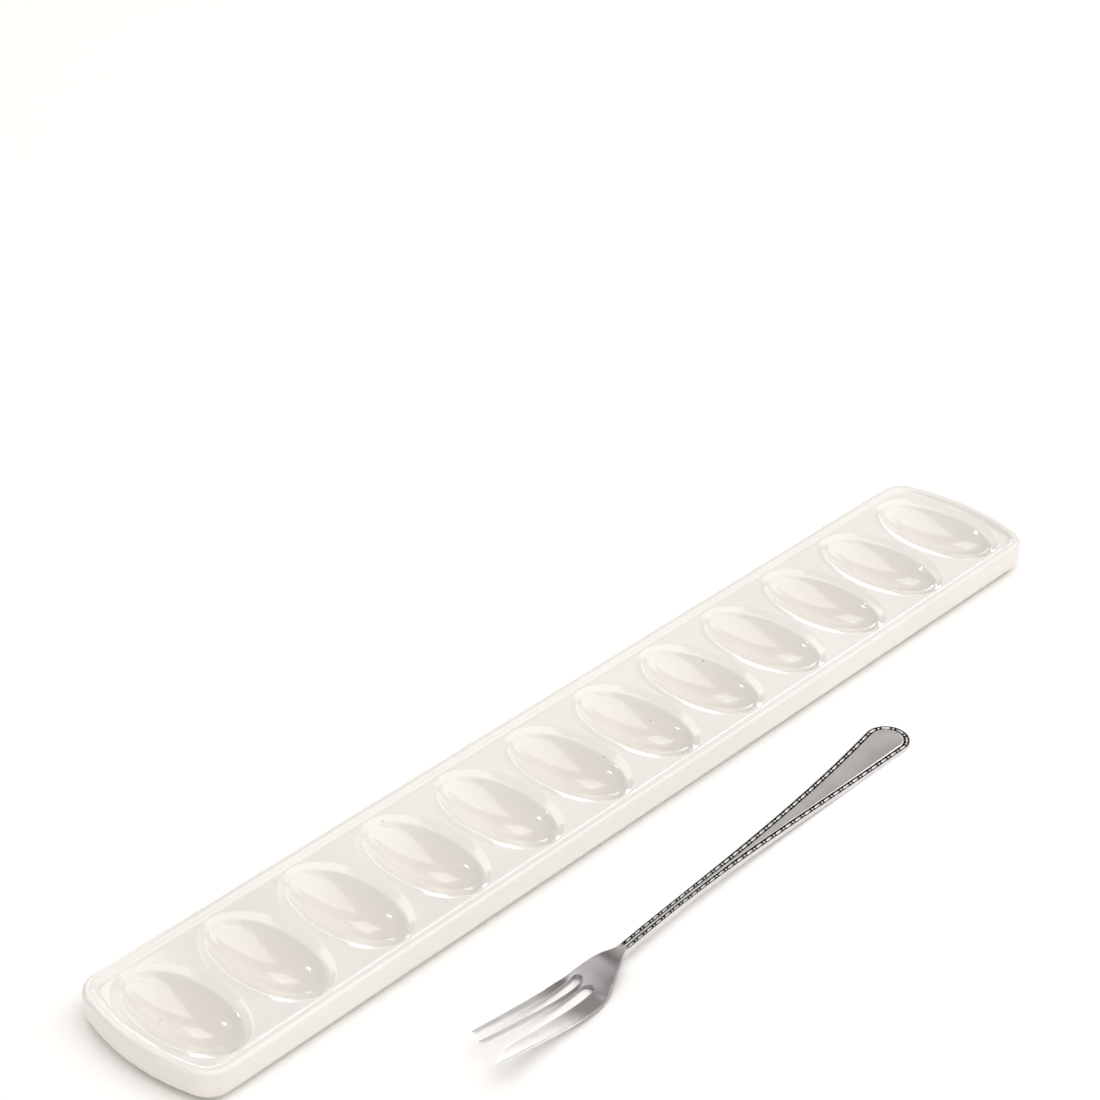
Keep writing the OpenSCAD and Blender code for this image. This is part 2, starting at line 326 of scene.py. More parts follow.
def rim_band():
    """The rim, the outer wall and the foot as one closed band round the whole platter."""
    track_x, track_y, out = rim_track()
    rim_top = deck_z + rim_rise
    section = [(d, deck_z + float(rim_height(np.array(d)))) for d in rim_points]
    section += [(rim_edge_r * (1 - math.sin(t)), rim_top - rim_edge_r * (1 - math.cos(t)))
                for t in np.linspace(0, math.pi / 2, crest_steps)]
    section += [(0, z) for z in wall_heights]
    section += [(foot_round * (1 - math.cos(t)), foot_round * (1 - math.sin(t)))
                for t in np.linspace(0, math.pi / 2, foot_steps)]
    section += [(foot_round + foot_lead, 0)] + [(foot_in - back, z) for back, z in foot_edge]
    rings = []
    for d, z in section:
        shift = d - inner_d
        rings.append(np.stack([track_x - shift * np.cos(out), track_y - shift * np.sin(out), out * 0 + z], 1))

    # The foot's inner wall rises from its edge to the underside of the nearest well.
    x, y, foot_z = rings[-1].T
    nearest = np.clip(np.round(x / pitch + (well_count - 1) / 2), 0, well_count - 1)
    under = under_height(x - (nearest * pitch - end_x), y)
    rings += [np.stack([x, y, foot_z + (under - foot_z) * t], 1) for t in inner_wall_shares]
    return np.concatenate(rings), ring_faces(len(rings), len(out))


def mesh_from(name, verts, faces):
    """A mesh from points in millimetres."""
    mesh = bpy.data.meshes.new(name)
    mesh.from_pydata((np.asarray(verts) * mm).tolist(), [], faces)
    return mesh


def closed_up(mesh, near):
    """Merges a mesh's doubled points, turns its faces outwards and shades it smooth."""
    shell = bmesh.new()
    shell.from_mesh(mesh)
    bmesh.ops.remove_doubles(shell, verts=shell.verts, dist=near * mm)
    bmesh.ops.dissolve_degenerate(shell, edges=shell.edges, dist=same_spot * mm)
    bmesh.ops.recalc_face_normals(shell, faces=shell.faces)
    shell.to_mesh(mesh)
    shell.free()
    mesh.shade_smooth()


end_verts, end_faces = well_cell(True)
band_verts, band_faces = rim_band()
right = end_verts + [end_x, 0, 0]
ends_verts = np.concatenate([right, right * [-1, 1, 1], band_verts])
ends_faces = end_faces + moved_on(end_faces, len(right), flip=True) + moved_on(band_faces, 2 * len(right))
one_well = in_scene("one_well", mesh_from("one_well", *well_cell(False)))
rim_and_ends = in_scene("rim_and_ends", mesh_from("rim_and_ends", ends_verts, ends_faces))


def feed(tree, node, feeds):
    """Sets each named input of a node to a value, or links it to another node's socket."""
    for name, value in feeds.items():
        if isinstance(value, bpy.types.NodeSocket):
            tree.links.new(value, node.inputs[name])
        else:
            node.inputs[name].default_value = value
    return node


def add_node(tree, kind, feeds=None, **settings):
    """Adds a node with its settings to a tree, and feeds its inputs."""
    made = tree.nodes.new(kind)
    for name, value in settings.items():
        setattr(made, name, value)
    return feed(tree, made, feeds or {})


def ramp(tree, value, first, last, *between, interpolation="LINEAR"):
    """The colour for a value between 0 and 1. Each stop is a place on the ramp and its colour."""
    made = add_node(tree, "ShaderNodeValToRGB", {"Fac": value})
    made.color_ramp.interpolation = interpolation
    for element, stop in zip(made.color_ramp.elements, (first, last)):
        element.position, element.color = stop
    for position, colour in between:
        made.color_ramp.elements.new(position).color = colour
    return made.outputs["Color"]


def mixed(tree, factor, under, over, blend_type="MIX"):
    """Two colours mixed. A Mix node has its colour inputs at 6 and 7, and its colour output at 2."""
    feeds = {"Factor": factor, 6: under, 7: over}
    return add_node(tree, "ShaderNodeMix", feeds, data_type="RGBA", blend_type=blend_type).outputs[2]


# The glaze drifts between two warm whites and has a few small pinholes. Low down, in the bowls and
# at the wall's foot, it is painted warmer as painted warm shade, and the foot is left bare.
white = (1, 1, 1, 1)
glaze_warm = (0.76, 0.738, 0.712, 1)
glaze_pale = (0.795, 0.777, 0.755, 1)
painted_warm_shade_tint = (1, 0.98, 0.947, 1)
pinhole_brown = (0.45, 0.37, 0.3, 1)
bare_clay = (0.62, 0.53, 0.43, 1)
painted_shade_heights = (3.5, 12.5)
bare_heights = (0.35, 0.1)
swell_height = 0.6

glaze = bpy.data.materials.new("warm_white_glaze")
glaze.use_nodes = True
tree = glaze.node_tree
place = add_node(tree, "ShaderNodeTexCoord").outputs["Object"]
height = add_node(tree, "ShaderNodeSeparateXYZ", {"Vector": place}).outputs["Z"]
drift = add_node(tree, "ShaderNodeTexNoise", {"Vector": place, "Scale": 14, "Detail": 2})
body_colour = ramp(tree, drift.outputs["Fac"], (0.3, glaze_warm), (0.7, glaze_pale))
pits = add_node(tree, "ShaderNodeTexVoronoi", {"Vector": place, "Scale": 95})
pinholes = ramp(tree, pits.outputs["Distance"], (0.022, pinhole_brown), (0.04, white))
speckled = mixed(tree, 1, body_colour, pinholes, "MULTIPLY")
# Painted warm shade: below 12.5 mm the glaze colour is multiplied by a warm tint, strongest below 3.5 mm.
low = add_node(tree, "ShaderNodeMapRange",
               {"Value": height, "From Min": painted_shade_heights[0] * mm, "From Max": painted_shade_heights[1] * mm})
painted_warm_shade = ramp(tree, low.outputs["Result"], (0, painted_warm_shade_tint), (1, white))
bare = add_node(tree, "ShaderNodeMapRange",
                {"Value": height, "From Min": bare_heights[0] * mm, "From Max": bare_heights[1] * mm})
dipped = mixed(tree, bare.outputs["Result"], mixed(tree, 1, speckled, painted_warm_shade, "MULTIPLY"), bare_clay)
ripple = add_node(tree, "ShaderNodeTexNoise", {"Vector": place, "Scale": 45, "Detail": 1})
swell = add_node(tree, "ShaderNodeBump",
                 {"Strength": 0.12, "Distance": swell_height * mm, "Height": ripple.outputs["Fac"]})
feed(tree, tree.nodes["Principled BSDF"], {
    "Base Color": dipped, "Normal": swell.outputs["Normal"], "Roughness": 0.09, "IOR": 1.5,
    "Coat Weight": 0.35, "Coat Roughness": 0.03})

# The ten wells between the ends stand on a line of points, a pitch apart and centred on x = 0, and
# are welded to the rim and the end wells.
weld_gap = 0.002
row = bpy.data.node_groups.new("row_of_wells", "GeometryNodeTree")
row.interface.new_socket("Geometry", in_out="INPUT", socket_type="NodeSocketGeometry")
count_in = row.interface.new_socket("Wells between the ends", in_out="INPUT", socket_type="NodeSocketInt")
pitch_in = row.interface.new_socket("Well to well", in_out="INPUT", socket_type="NodeSocketFloat")
ends_in = row.interface.new_socket("Rim and end wells", in_out="INPUT", socket_type="NodeSocketObject")
glaze_in = row.interface.new_socket("Glaze", in_out="INPUT", socket_type="NodeSocketMaterial")
row.interface.new_socket("Geometry", in_out="OUTPUT", socket_type="NodeSocketGeometry")
given = add_node(row, "NodeGroupInput").outputs
count = given["Wells between the ends"]
step = add_node(row, "ShaderNodeCombineXYZ", {"X": given["Well to well"]}).outputs[0]
gaps = add_node(row, "ShaderNodeMath", {0: count, 1: 1}, operation="SUBTRACT").outputs[0]
half_back = add_node(row, "ShaderNodeMath", {0: gaps, 1: -0.5}, operation="MULTIPLY").outputs[0]
start = add_node(row, "ShaderNodeVectorMath", {0: step, "Scale": half_back}, operation="SCALE").outputs[0]
line = add_node(row, "GeometryNodeMeshLine", {"Count": count, "Start Location": start, "Offset": step})
wells = add_node(row, "GeometryNodeInstanceOnPoints",
                 {"Points": line.outputs[0], "Instance": given["Geometry"]})
ends = add_node(row, "GeometryNodeObjectInfo", {"Object": given["Rim and end wells"]})
joined = add_node(row, "GeometryNodeJoinGeometry", {0: wells.outputs[0]})
feed(row, joined, {0: ends.outputs["Geometry"]})
real = add_node(row, "GeometryNodeRealizeInstances", {0: joined.outputs[0]})
weld = add_node(row, "GeometryNodeMergeByDistance", {0: real.outputs[0], "Distance": weld_gap * mm})
glazed = add_node(row, "GeometryNodeSetMaterial", {"Geometry": weld.outputs[0], "Material": given["Glaze"]})
add_node(row, "NodeGroupOutput", {0: glazed.outputs[0]})

repeat = one_well.modifiers.new("row", "NODES")
repeat.node_group = row
repeat[count_in.identifier] = well_count - 2
repeat[pitch_in.identifier] = pitch * mm
repeat[ends_in.identifier] = rim_and_ends
repeat[glaze_in.identifier] = glaze
pressed = bpy.data.meshes.new_from_object(one_well.evaluated_get(bpy.context.evaluated_depsgraph_get()))
bpy.data.objects.remove(one_well)
bpy.data.objects.remove(rim_and_ends)
closed_up(pressed, weld_gap)
pressed.transform(Matrix.Translation((0, row_y * mm, 0)))
glazed_platter = in_scene("glazed_platter", pressed)
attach(glazed_platter, "platter")
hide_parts("platter")


# The fork is stamped from one blank of nickel silver and silver-plated: a round-ended handle with
# a struck border, a slim arched stem, and a head that drops into a shallow bowl before its two
# slender tines and the broad cutting tine. It lies on the table in front of the platter.
fork_x = 103.3
fork_y = -40.647
fork_turn = math.radians(184.3)

# Outline, along the fork from the handle's end.
fork_len = 276.0
handle_w = 19.2
handle_taper = 150.0
taper_power = 1.8
stem_w = 4.5
head_len = 86.0
head_w = 21.6
head_close = 0.8
shoulder_len = 29.0
shoulder_power = 1.2
end_r = handle_w / 2
neck_s = fork_len - head_len
full_s = neck_s + shoulder_len

# Side view: the arch of the stem, the bowl that touches the table and the tines' rise.
arch_h = 4.6
arch_s = handle_w * 1.3
drop_s = neck_s + shoulder_len * 0.18
bowl_s = neck_s + shoulder_len * 0.82
bowl_bend = 3.0
tine_rise = math.radians(14.5)
dish_h = 0.7
handle_t = 1.8
stem_more_t = 0.6
head_less_t = 0.9
tips_less_t = 0.5

# Section of the handle: each point of the border is a share of its width in from the edge, a share
# of the ground's depth down, and black (1) or bright (0). The panel's points are shares of its half
# width and of its crown.
edge_r = 0.26
edge_mid_share = 0.3
edge_shares = (0.12, 0.45)
border_w = 2.6
border_share = 0.82
border_fade = 4.0
lip_share = 0.11
ground_d = 0.36
border_shares = ((0.14, 0.6, 1), (0.17, 1, 1), (0.5, 1, 1), (0.93, 1, 1), (0.965, 0.6, 1), (1, 0.1, 0))
crown_h = 0.3
crown_shares = ((0.88, 0.2), (0.6, 0.64), (0.3, 0.91), (0, 1))
lip_point = 9

# Rings of the handle and the stem, close together at the round end and where the head begins.
end_turns = 41
handle_to = 60.0
stem_to = neck_s - 6.0
join_to = neck_s + 15.0
handle_step, stem_step, join_step = 1.0, 2.0, 0.7

# Tines, with their slots between them.
palm_len = 18.0
tine_w = 2.1
tine_tip_w = 1.6
tine_lean = 1.3
tine_step = 3.0
tine_back = 11.0
tine_tip_r = 0.7
slot_w = 3.8
blade_slot_w = 4.5
slot_flat = 0.02
blade_lean = 0.9
point_len = 12.0
blade_r = 0.8
point_r = 0.42
side_step = 3.0
side_clear = 1.5

# Spacing of the points on the head, round its outline and on its two faces, and the limits for
# narrow places, sharp turns and doubled points.
arc_step = 0.25
low_step = 0.8
low_clear = (0.6, 0.4)
outline_step = 1.6
grid_steps = (0.9, 0.75)
grid_from = 0.8
grid_clear = 0.45
least_half = 0.5
sharpest = 0.5
seam_gap = 0.003


def eased(q):
    """Rises smoothly from 0 to 1 as q does."""
    t = np.clip(q, 0, 1)
    return t * t * (3 - 2 * t)


def fork_half(s):
    """Half the fork's width at a distance s from the handle's end."""
    s = np.asarray(s, float)
    round_end = np.sqrt(np.maximum(end_r**2 - np.maximum(end_r - s, 0) ** 2, 0))
    narrowing = np.maximum(0, 1 - (s - end_r) / handle_taper) ** taper_power
    handle = stem_w / 2 + (end_r - stem_w / 2) * narrowing
    widening = np.sin(math.pi / 2 * np.clip((s - neck_s) / shoulder_len, 0, 1)) ** shoulder_power
    closing = head_close * np.maximum(0, (s - full_s) / (head_len - shoulder_len)) ** 2
    head = stem_w / 2 + (head_w - stem_w) / 2 * widening - closing
    return np.where(s < end_r, round_end, np.where(s < neck_s, handle, head))


def dropped(s):
    """How far the head has dropped from the stem's arch into the bowl, from 0 to 1."""
    return eased((s - drop_s) / (bowl_s - drop_s))


def under_z(s):
    """Height of the fork's underside above the table: the stem's arch, the bowl and the tines' rise."""
    past = np.maximum(0, s - bowl_s) * math.tan(tine_rise)
    arch = arch_h * eased((s - arch_s) / handle_taper) * (1 - dropped(s))
    return arch + np.sqrt(past**2 + bowl_bend**2) - bowl_bend


def fork_thick(s):
    """Thickness of the metal, greatest in the stem and least at the tips."""
    thin = head_less_t * dropped(s) + tips_less_t * eased((s - bowl_s) / (fork_len - bowl_s))
    return handle_t + stem_more_t * eased(s / neck_s) - thin


def fork_place(s, t, z):
    """From along, across and up on the fork to the model's frame, in millimetres."""
    c, n = math.cos(fork_turn), math.sin(fork_turn)
    s, t, z = np.broadcast_arrays(np.asarray(s, float), t, z)
    return np.stack([fork_x + s * c - t * n, fork_y + s * n + t * c, z], -1)


def dish(s, t):
    """How far the head's sides stand above its middle."""
    across = t / np.maximum(fork_half(s), least_half)
    return dish_h * eased((s - neck_s) / shoulder_len) * across**2


def on_fork(s, t, z):
    """Places points that are given by their height above the fork's underside."""
    return fork_place(s, t, z + under_z(s) + dish(s, t))


def border_width(s):
    """Width of the struck border, which is squeezed where the handle narrows to the stem."""
    return np.minimum(border_w, border_share * fork_half(s))


def handle_section(s):
    """Half the section across the handle, from the middle of the underside round one side to the
    middle of the top: how far across, how high above the underside, and how black its ground is."""
    w, t, b = float(fork_half(s)), float(fork_thick(s)), float(border_width(s))
    shown = 1 - float(eased((s - neck_s + border_fade) / border_fade))
    r = min(edge_r, w / 4)
    near, far = edge_shares
    ground, crown = ground_d * shown, crown_h * shown * (w - b) / (end_r - border_w)
    bottom = [(0, 0, 0), (w / 2, 0, 0), (w - r, 0, 0), (w - r * edge_mid_share, r * edge_mid_share, 0)]
    side = [(w, r, 0), (w, t / 2, 0), (w, t - r, 0), (w - r * near, t - r * far, 0),
            (w - r * far, t - r * near, 0), (w - b * lip_share, t, 0)]
    struck = [(w - b * across, t - ground * deep, black * shown) for across, deep, black in border_shares]
    panel = [((w - b) * across, t + crown * up, 0) for across, up in crown_shares]
    return bottom + side + struck + panel


fork_verts, fork_faces, fork_black = [], [], []


def add_rings(rings, black, closed):
    """Adds a run of rings to the fork, each joined to the next."""
    fork_faces.extend(moved_on(ring_faces(len(rings), len(rings[0]), closed), len(fork_verts)))
    fork_verts.extend(np.concatenate(rings))
    fork_black.extend(black)


across, up, black = np.array(handle_section(end_r)).T
turns = np.linspace(-math.pi / 2, math.pi / 2, end_turns)
rings = [on_fork(end_r - across * math.cos(turn), across * math.sin(turn), up) for turn in turns]
add_rings(rings, np.tile(black, end_turns), False)

stations = np.concatenate([np.arange(end_r, handle_to, handle_step), np.arange(handle_to, stem_to, stem_step),
                           np.arange(stem_to, join_to, join_step)])
join_s = float(stations[-1])
rings, blacks = [], []
for s in stations:
    half = handle_section(s)
    across, up, black = np.array(half + [(-y, z, g) for y, z, g in half[-2:0:-1]]).T
    rings.append(on_fork(s, across, up))
    blacks.extend(black)
add_rings(rings, blacks, True)


def rounded(points):
    """An outline through corners (along, across, radius), with each corner rounded off."""
    out = []
    for i, (x, y, r) in enumerate(points):
        p = np.array([x, y])
        if r <= 0:
            out.append(p)
            continue
        u = np.array(points[i - 1][:2]) - p
        v = np.array(points[(i + 1) % len(points)][:2]) - p
        u, v = u / np.linalg.norm(u), v / np.linalg.norm(v)
        half = math.acos(np.clip(u @ v, -1, 1)) / 2
        run = r / math.tan(half)
        mid = (u + v) / np.linalg.norm(u + v)
        hub = p + mid * r / math.sin(half)
        a, b = p + u * run - hub, p + v * run - hub
        start, sweep = math.atan2(a[1], a[0]), math.atan2(a[0] * b[1] - a[1] * b[0], a @ b)
        steps = max(3, int(abs(sweep) * max(r, 2 * arc_step) / arc_step))
        for k in range(steps + 1):
            turn = start + sweep * k / steps
            out.append(hub + r * np.array([math.cos(turn), math.sin(turn)]))
    return out


def spread(points):
    """An outline with more points along its long stretches."""
    out = [points[0]]
    for point in points[1:]:
        gap = point - out[-1]
        steps = max(1, int(np.linalg.norm(gap) / outline_step))
        out += [out[-1] + gap * k / steps for k in range(1, steps)] + [point]
    return out


# The head's outline runs up the near side, round the two slender tines and the cutting tine, and
# back down the far side.
root = neck_s + palm_len
blade_root = root + tine_step / 2
first = tine_w - float(fork_half(root + slot_w / 2))
second = first + slot_w
third = second + tine_w
broad = third + blade_slot_w
mid_tine = (second + third) / 2 - tine_lean
tip = fork_len - tine_back
tip_half = float(fork_half(tip))
mid_tip = tip + tine_step
slot_r, blade_slot_r = slot_w / 2 - slot_flat, blade_slot_w / 2 - slot_flat
far_side = [(s, float(fork_half(s)), 0) for s in np.arange(full_s, fork_len, side_step)]
near_side = [(s, -half, r) for s, half, r in far_side if s < tip - side_clear]
tines = rounded(near_side + [
    (tip, -tip_half, tine_tip_r), (tip, tine_tip_w - tip_half, tine_tip_r),
    (root, first, slot_r), (root, second, slot_r),
    (mid_tip, mid_tine - tine_tip_w / 2, tine_tip_r), (mid_tip, mid_tine + tine_tip_w / 2, tine_tip_r),
    (blade_root, third, blade_slot_r), (blade_root, broad, blade_slot_r),
    (fork_len - point_len, broad + blade_lean, blade_r),
    (fork_len, float(fork_half(fork_len)), point_r)] + far_side[::-1])
low_stations = np.arange(join_s + low_clear[0], full_s - low_clear[1], low_step)
low_side = [np.array([s, -float(fork_half(s))]) for s in low_stations]
join_half = float(fork_half(join_s))
outline = np.array([[join_s, -join_half]] + spread(low_side + tines + [q * [1, -1] for q in low_side[::-1]])
                   + [[join_s, join_half]])
ahead = np.diff(outline, axis=0)
ahead /= np.linalg.norm(ahead, axis=1)[:, None]
inward = np.stack([-ahead[:, 1], ahead[:, 0]], 1)
miter = inward[:-1] + inward[1:]
miter /= np.maximum((miter * inward[1:]).sum(1), sharpest)[:, None]
inward = np.vstack([[0, 1], miter, [0, -1]])


def on_head(points, share, drop=0):
    """Places points of the head, seen from above, at a share of its thickness and down by drop."""
    s, t = points.T
    return on_fork(s, t, fork_thick(s) * share - drop)


def inside(points, ring):
    """Which points lie inside a closed outline."""
    hit = np.zeros(len(points), bool)
    for a, b in zip(ring, np.roll(ring, -1, axis=0)):
        if a[1] != b[1]:
            spans = (a[1] > points[:, 1]) != (b[1] > points[:, 1])
            cut = (b[0] - a[0]) * (points[:, 1] - a[1]) / (b[1] - a[1]) + a[0]
            hit ^= spans & (points[:, 0] < cut)
    return hit


# The head's edge is rounded above and below: how far in, at what share of the thickness, and how
# far down each ring lies. Its two faces are filled with a grid of points that keeps clear of it.
top_in = border_w * lip_share
near, far = edge_shares
edge = ((top_in, 1, 0), (edge_r * far, 1, edge_r * near), (edge_r * near, 1, edge_r * far), (0, 1, edge_r),
        (0, 0.5, 0), (0, 0, -edge_r), (edge_r * edge_mid_share, 0, -edge_r * edge_mid_share), (edge_r, 0, 0))
rings = [on_head(outline + inward * step_in, share, drop) for step_in, share, drop in edge]
add_rings(rings, np.zeros(len(edge) * len(outline)), False)

across = np.array(handle_section(join_s))[:, 0]
seam_top = [[join_s, y] for y in across[lip_point + 1:]]
seam_top += [[join_s, -y] for y in across[-2:lip_point:-1]]
seam_low = [[join_s, y] for y in across[1::-1]] + [[join_s, -across[1]]]
grid_s = np.arange(join_s + grid_from, fork_len, grid_steps[0])
grid_t = np.arange(-head_w / 2, head_w / 2, grid_steps[1])
grid = np.stack(np.meshgrid(grid_s, grid_t), -1).reshape(-1, 2)
for step_in, share, seam in ((top_in, 1, seam_top), (edge_r, 0, seam_low)):
    ring = np.vstack([outline + inward * step_in, seam])
    filling = grid[inside(grid, ring)]
    clear = np.array([np.min(np.hypot(*(ring - point).T)) for point in filling]) > grid_clear
    flat = [Vector(point) for point in np.vstack([ring, filling[clear]]).tolist()]
    filled = delaunay_2d_cdt(flat, [], [list(range(len(ring)))], 1, tiny)
    spots, faces = filled[0], filled[2]
    fork_faces.extend(moved_on(faces, len(fork_verts)))
    fork_verts.extend(on_head(np.array([tuple(spot) for spot in spots]), share))
    fork_black.extend([0] * len(spots))

stamped = mesh_from("stamped_fork", fork_verts, fork_faces)
shade = stamped.attributes.new("ground", "FLOAT", "POINT")
shade.data.foreach_set("value", np.array(fork_black, dtype=np.float32))
closed_up(stamped, seam_gap)

# The plate is bright silver with a soft hand-polished satin, and the ground of the border is left
# blackened, as is done on antiqued flatware, so that the ovals and beads stand out. The hollow of the
# head is painted a darker grey as painted shade, and the handle and stem a little darker, also painted shade.
silver_dark = (0.77, 0.76, 0.77, 1)
silver_light = (0.86, 0.85, 0.86, 1)
painted_shade_light = (0.50, 0.49, 0.50, 1)
painted_shade_dark = (0.36, 0.35, 0.36, 1)
handle_shade_tone = (0.9, 0.9, 0.9, 1)
ground_black = (0.004, 0.004, 0.004, 1)
ground_rough = 0.85
satin_rough = (0.26, 0.34)
hollow_x = (-130, -85)
scratch_depth = 0.03
polish_scale = (90, 1500, 400)
polish_turn = math.radians(-4.2)

plate = bpy.data.materials.new("antiqued_silver_plate")
plate.use_nodes = True
tree = plate.node_tree
place = add_node(tree, "ShaderNodeTexCoord").outputs["Object"]
lengthwise = add_node(tree, "ShaderNodeMapping",
                      {"Vector": place, "Rotation": (0, 0, polish_turn), "Scale": polish_scale})
polish = add_node(tree, "ShaderNodeTexNoise",
                  {"Vector": lengthwise.outputs["Vector"], "Scale": 1, "Detail": 4}).outputs["Fac"]
satin = add_node(tree, "ShaderNodeMapRange",
                 {"Value": polish, "To Min": satin_rough[0], "To Max": satin_rough[1]})
cloud = add_node(tree, "ShaderNodeTexNoise", {"Vector": place, "Scale": 90, "Detail": 3})
tone = ramp(tree, cloud.outputs["Fac"], (0.3, silver_dark), (0.65, silver_light))
along = add_node(tree, "ShaderNodeSeparateXYZ", {"Vector": place}).outputs["X"]
# Painted shade: the metal is multiplied to a darker grey over the head's hollow and a little darker over the
# handle and stem, by position along the fork.
hollow = add_node(tree, "ShaderNodeMapRange",
                  {"Value": along, "From Min": hollow_x[0] * mm, "From Max": hollow_x[1] * mm})
painted_hollow_shade = ramp(tree, hollow.outputs["Result"], (0, white), (1, handle_shade_tone),
            (0.30, painted_shade_light), (0.80, painted_shade_dark), interpolation="EASE")
ground = add_node(tree, "ShaderNodeAttribute", attribute_name="ground").outputs["Fac"]
metal = mixed(tree, ground, mixed(tree, 1, tone, painted_hollow_shade, "MULTIPLY"), ground_black)
rough = add_node(tree, "ShaderNodeMix", {"Factor": ground, 2: satin.outputs["Result"], 3: ground_rough})
scratch = add_node(tree, "ShaderNodeBump",
                   {"Strength": 0.05, "Distance": scratch_depth * mm, "Height": polish})
feed(tree, tree.nodes["Principled BSDF"], {
    "Base Color": metal, "Metallic": 1, "Roughness": rough.outputs[0], "Normal": scratch.outputs["Normal"]})
stamped.materials.append(plate)
fork_blank = in_scene("stamped_fork", stamped)
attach(fork_blank, "fork")
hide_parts("serving_fork")


# The struck border is a string of long ovals with a small bead between each two. It runs up one
# side of the handle, round the end and down the other, and shrinks with the handle to the stem.
# It is one with the fork's metal and is polished bright where it stands proud of its ground.
oval_size = (2.05, 0.60, 0.50)
bead_size = (0.58, 0.56, 0.48)
string_from = neck_s - 4.5
string_share = 0.53
route_step = 0.1
route_turns = 300
half_look = 0.3
spacing = (2.1, 1.03)
length_shares = (0.6, 0.4)
width_shares = (0.62, 0.38)

side = []
for s in np.arange(string_from, end_r, -route_step):
    side.append((s, float(fork_half(s) - border_width(s) * string_share), float(border_width(s))))
off = end_r - border_w * string_share
end = [(end_r - off * math.cos(turn), off * math.sin(turn), border_w)
       for turn in np.linspace(math.pi / 2, -math.pi / 2, route_turns)]
route = np.array(side + end + [(s, -y, b) for s, y, b in side[::-1]])
travel = np.concatenate([[0], np.cumsum(np.hypot(*np.diff(route[:, :2], axis=0).T))])


def on_route(at):
    """Along, across and the border's width, at a distance travelled along the border."""
    return np.array([np.interp(at, travel, values) for values in route.T])


string, heading, size = [], [], []
at = 0.0
while at < travel[-1]:
    s, y, b = on_route(at)
    ds, dy = (on_route(at + half_look) - on_route(at - half_look))[:2]
    height = float(under_z(s) + fork_thick(s)) - ground_d
    string.append(fork_place(s, y, height))
    heading.append(fork_place(s + ds, y + dy, height) - fork_place(s, y, height))
    narrow = b / border_w
    length = length_shares[0] + length_shares[1] * narrow
    width = width_shares[0] + width_shares[1] * narrow
    size.append((length, narrow * width, 1))
    at += spacing[0] + spacing[1] * narrow

places = mesh_from("border_places", string, [])
for name, values in (("size", size), ("heading", heading)):
    layer = places.attributes.new(name, "FLOAT_VECTOR", "POINT")
    layer.data.foreach_set("vector", np.array(values, dtype=np.float32).ravel())
border = in_scene("border", places)

struck = bpy.data.node_groups.new("ovals_and_beads", "GeometryNodeTree")
struck.interface.new_socket("Geometry", in_out="INPUT", socket_type="NodeSocketGeometry")
oval_in = struck.interface.new_socket("Oval half size", in_out="INPUT", socket_type="NodeSocketVector")
bead_in = struck.interface.new_socket("Bead half size", in_out="INPUT", socket_type="NodeSocketVector")
metal_in = struck.interface.new_socket("Plate", in_out="INPUT", socket_type="NodeSocketMaterial")
struck.interface.new_socket("Geometry", in_out="OUTPUT", socket_type="NodeSocketGeometry")
given = add_node(struck, "NodeGroupInput").outputs
number = add_node(struck, "GeometryNodeInputIndex").outputs[0]
odd = add_node(struck, "ShaderNodeMath", {0: number, 1: 2}, operation="MODULO").outputs[0]
even = add_node(struck, "ShaderNodeMath", {0: 1, 1: odd}, operation="SUBTRACT").outputs[0]
own_size, way = (
    add_node(struck, "GeometryNodeInputNamedAttribute", {"Name": name}, data_type="FLOAT_VECTOR")
    .outputs["Attribute"] for name in ("size", "heading"))
turned = add_node(struck, "FunctionNodeAlignEulerToVector", {"Vector": way}, axis="X", pivot_axis="Z")
kept = add_node(struck, "GeometryNodeJoinGeometry")
for chosen, half_size in ((even, given["Oval half size"]), (odd, given["Bead half size"])):
    ball = add_node(struck, "GeometryNodeMeshUVSphere", {"Segments": 16, "Rings": 8, "Radius": 1})
    shaped = add_node(struck, "GeometryNodeTransform", {"Geometry": ball.outputs["Mesh"], "Scale": half_size})
    placed = add_node(struck, "GeometryNodeInstanceOnPoints", {
        "Points": given["Geometry"], "Selection": chosen, "Instance": shaped.outputs[0],
        "Rotation": turned.outputs[0], "Scale": own_size})
    feed(struck, kept, {0: placed.outputs[0]})
real = add_node(struck, "GeometryNodeRealizeInstances", {0: kept.outputs[0]})
smooth = add_node(struck, "GeometryNodeSetShadeSmooth", {0: real.outputs[0]})
plated = add_node(struck, "GeometryNodeSetMaterial",
                  {"Geometry": smooth.outputs[0], "Material": given["Plate"]})
add_node(struck, "NodeGroupOutput", {0: plated.outputs[0]})

strike = border.modifiers.new("strike", "NODES")
strike.node_group = struck
strike[oval_in.identifier] = [length * mm for length in oval_size]
strike[bead_in.identifier] = [length * mm for length in bead_size]
strike[metal_in.identifier] = plate
relief = bpy.data.meshes.new_from_object(border.evaluated_get(bpy.context.evaluated_depsgraph_get()))
bpy.data.objects.remove(border)
struck_border = in_scene("struck_border", relief)
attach(struck_border, "fork")


# The table is a plain pale sheet of paper, far wider than the view. It lies under both pieces and
# takes their soft shadow.
table_half = 12
paper_dark = (0.95, 0.945, 0.945, 1)
paper_light = (0.97, 0.965, 0.965, 1)

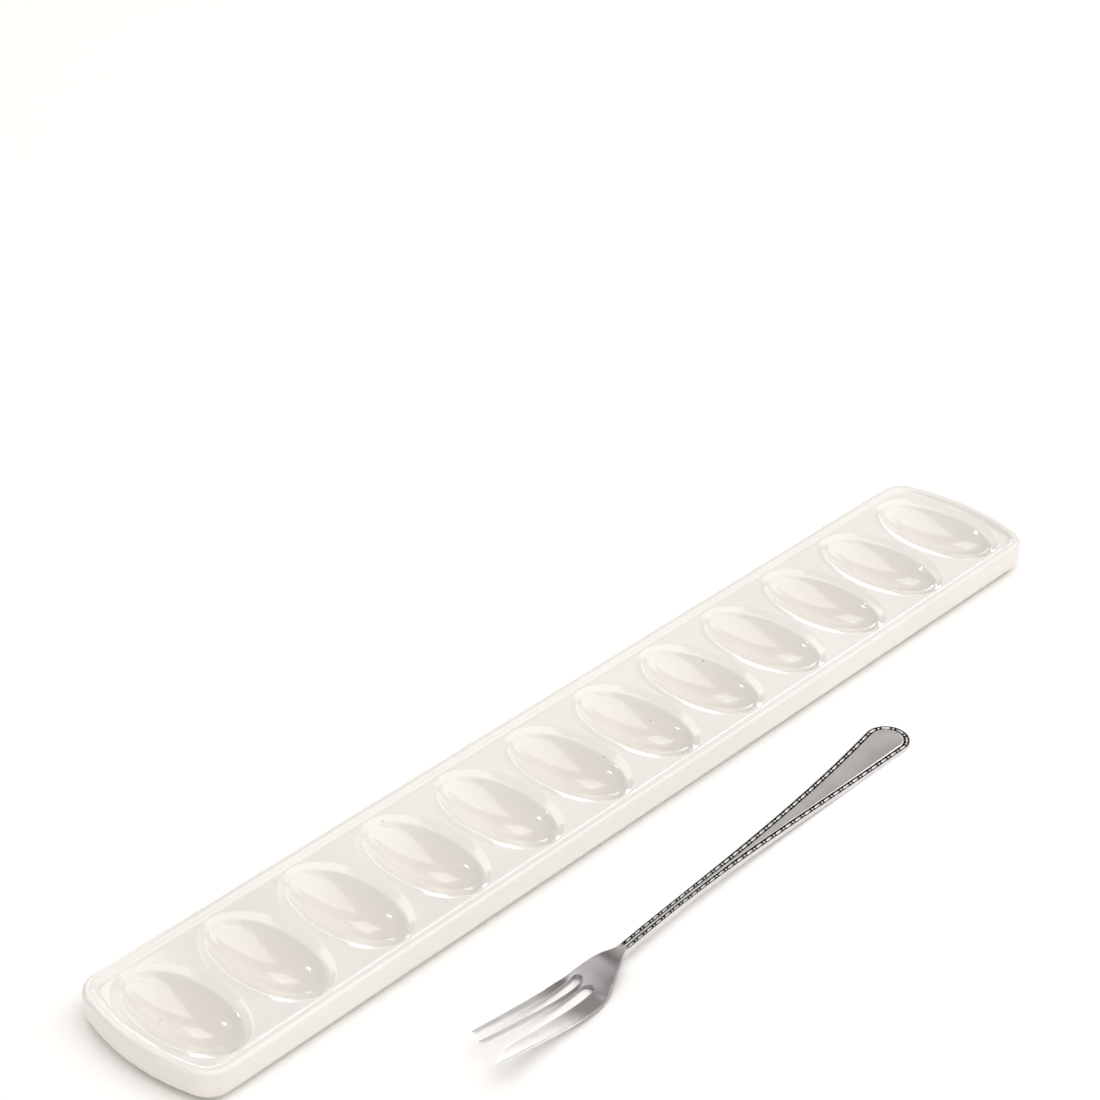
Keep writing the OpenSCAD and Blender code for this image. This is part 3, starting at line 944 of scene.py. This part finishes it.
table_mesh = bpy.data.meshes.new("table")
corners = [(x * table_half, y * table_half, 0) for x, y in ((-1, -1), (1, -1), (1, 1), (-1, 1))]
table_mesh.from_pydata(corners, [], [(0, 1, 2, 3)])
paper = bpy.data.materials.new("pale_paper")
paper.use_nodes = True
tree = paper.node_tree
place = add_node(tree, "ShaderNodeTexCoord").outputs["Object"]
grain = add_node(tree, "ShaderNodeTexNoise", {"Vector": place, "Scale": 3})
pale = ramp(tree, grain.outputs["Fac"], (0, paper_dark), (1, paper_light))
feed(tree, tree.nodes["Principled BSDF"], {"Base Color": pale, "Roughness": 0.8})
table_mesh.materials.append(paper)
table_top = in_scene("table_top", table_mesh)


# The studio is a dim, warm room. A broad skylight hangs overhead and a smaller one in front, a
# window stands on the right and a small one behind, white reflectors stand low in front, at the
# near end and behind, and a small lamp shines from the back left.
wall_tone = (0.36, 0.335, 0.295, 1)
ceiling_tone = (0.20, 0.18, 0.148, 1)

room = bpy.data.worlds.new("warm_room")
room.use_nodes = True
tree = room.node_tree
place = add_node(tree, "ShaderNodeTexCoord").outputs["Generated"]
up = add_node(tree, "ShaderNodeSeparateXYZ", {"Vector": place}).outputs["Z"]
walls = ramp(tree, up, (0.05, wall_tone), (0.9, ceiling_tone))
feed(tree, tree.nodes["Background"], {"Color": walls, "Strength": 1})
bpy.context.scene.world = room
bpy.context.scene.view_settings.view_transform = "Standard"


def soft_light(name, azimuth, height, away, wide, high, bright):
    """A soft rectangular light that faces the platter: its direction in degrees, its distance and
    size in metres, and its brightness in watts for each square metre."""
    data = bpy.data.lights.new(name, "AREA")
    data.shape = "RECTANGLE"
    data.size, data.size_y, data.energy = wide, high, bright * wide * high
    a, e = math.radians(azimuth), math.radians(height)
    where = Vector((math.cos(a) * math.cos(e), math.sin(a) * math.cos(e), math.sin(e))) * away
    made = in_scene(name, data)
    made.location = where
    made.rotation_euler = (-where).to_track_quat("-Z", "Y").to_euler()


soft_light("skylight", -45, 82, 3.2, 3.2, 4.6, 5.4)
soft_light("front_skylight", -122, 57, 3.0, 2.8, 1.5, 3.6)
soft_light("window", -32, 37, 3.0, 3.6, 1.2, 4.2)
soft_light("front_reflector", -90, 12, 3.0, 3.0, 0.9, 6.5)
soft_light("near_reflector", 180, 12, 3.0, 2.4, 1.0, 6.5)
soft_light("side_window", 70, 40, 3.0, 1.0, 0.8, 6)
soft_light("backdrop_low", 40, 5, 3.0, 3.2, 0.7, 10)
soft_light("backdrop", 42, 33, 3.0, 2.2, 0.6, 1.7)
soft_light("lamp", 112, 28, 2.6, 0.09, 0.09, 400)
